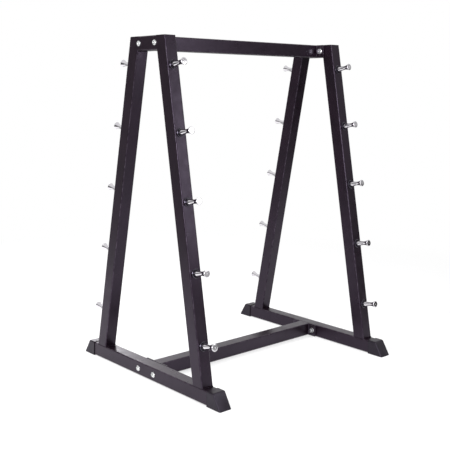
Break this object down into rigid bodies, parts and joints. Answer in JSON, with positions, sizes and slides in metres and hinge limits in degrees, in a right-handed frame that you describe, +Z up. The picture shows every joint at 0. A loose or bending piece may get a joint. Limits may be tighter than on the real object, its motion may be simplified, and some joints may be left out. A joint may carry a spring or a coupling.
{
  "type": "barbell storage rack",
  "caption": "Free-standing A-frame rack that stores fixed-weight barbells in tiers on hourglass holders along both slanted faces.",
  "frame": {"origin": "on the floor at the centre of the rack's footprint", "axes": "+X along the crossbars towards the right frame, +Y towards the back, +Z up"},
  "size_m": [1.1228, 0.9456, 1.476],
  "materials": {
    "powder_coat": "satin black powder coat with a faint warm purple cast",
    "boot_rubber": "matte black moulded rubber",
    "cup_plastic": "semi-gloss black moulded plastic",
    "chrome_spool": "polished chrome plate",
    "zinc_bolt": "bright zinc plate"
  },
  "bodies": {
    "root": {"left_frame": "powder_coat", "left_foot_tube": "powder_coat", "left_front_boot": "boot_rubber", "left_back_boot": "boot_rubber", "right_frame": "powder_coat", "right_foot_tube": "powder_coat", "right_front_boot": "boot_rubber", "right_back_boot": "boot_rubber", "upper_crossbar": "powder_coat", "lower_crossbar": "powder_coat", "left_upper_front_bolt": "zinc_bolt", "left_upper_back_bolt": "zinc_bolt", "left_lower_front_bolt": "zinc_bolt", "left_lower_back_bolt": "zinc_bolt", "right_upper_front_bolt": "zinc_bolt", "right_upper_back_bolt": "zinc_bolt", "right_lower_front_bolt": "zinc_bolt", "right_lower_back_bolt": "zinc_bolt", "left_front_spool_1": "chrome_spool", "left_front_cup_1": "cup_plastic", "left_front_spool_2": "chrome_spool", "left_front_cup_2": "cup_plastic", "left_front_spool_3": "chrome_spool", "left_front_cup_3": "cup_plastic", "left_front_spool_4": "chrome_spool", "left_front_cup_4": "cup_plastic", "left_front_spool_5": "chrome_spool", "left_front_cup_5": "cup_plastic", "left_back_spool_1": "chrome_spool", "left_back_cup_1": "cup_plastic", "left_back_spool_2": "chrome_spool", "left_back_cup_2": "cup_plastic", "left_back_spool_3": "chrome_spool", "left_back_cup_3": "cup_plastic", "left_back_spool_4": "chrome_spool", "left_back_cup_4": "cup_plastic", "left_back_spool_5": "chrome_spool", "left_back_cup_5": "cup_plastic", "right_front_spool_1": "chrome_spool", "right_front_cup_1": "cup_plastic", "right_front_spool_2": "chrome_spool", "right_front_cup_2": "cup_plastic", "right_front_spool_3": "chrome_spool", "right_front_cup_3": "cup_plastic", "right_front_spool_4": "chrome_spool", "right_front_cup_4": "cup_plastic", "right_front_spool_5": "chrome_spool", "right_front_cup_5": "cup_plastic", "right_back_spool_1": "chrome_spool", "right_back_cup_1": "cup_plastic", "right_back_spool_2": "chrome_spool", "right_back_cup_2": "cup_plastic", "right_back_spool_3": "chrome_spool", "right_back_cup_3": "cup_plastic", "right_back_spool_4": "chrome_spool", "right_back_cup_4": "cup_plastic", "right_back_spool_5": "chrome_spool", "right_back_cup_5": "cup_plastic"}
  },
  "joints": []
}
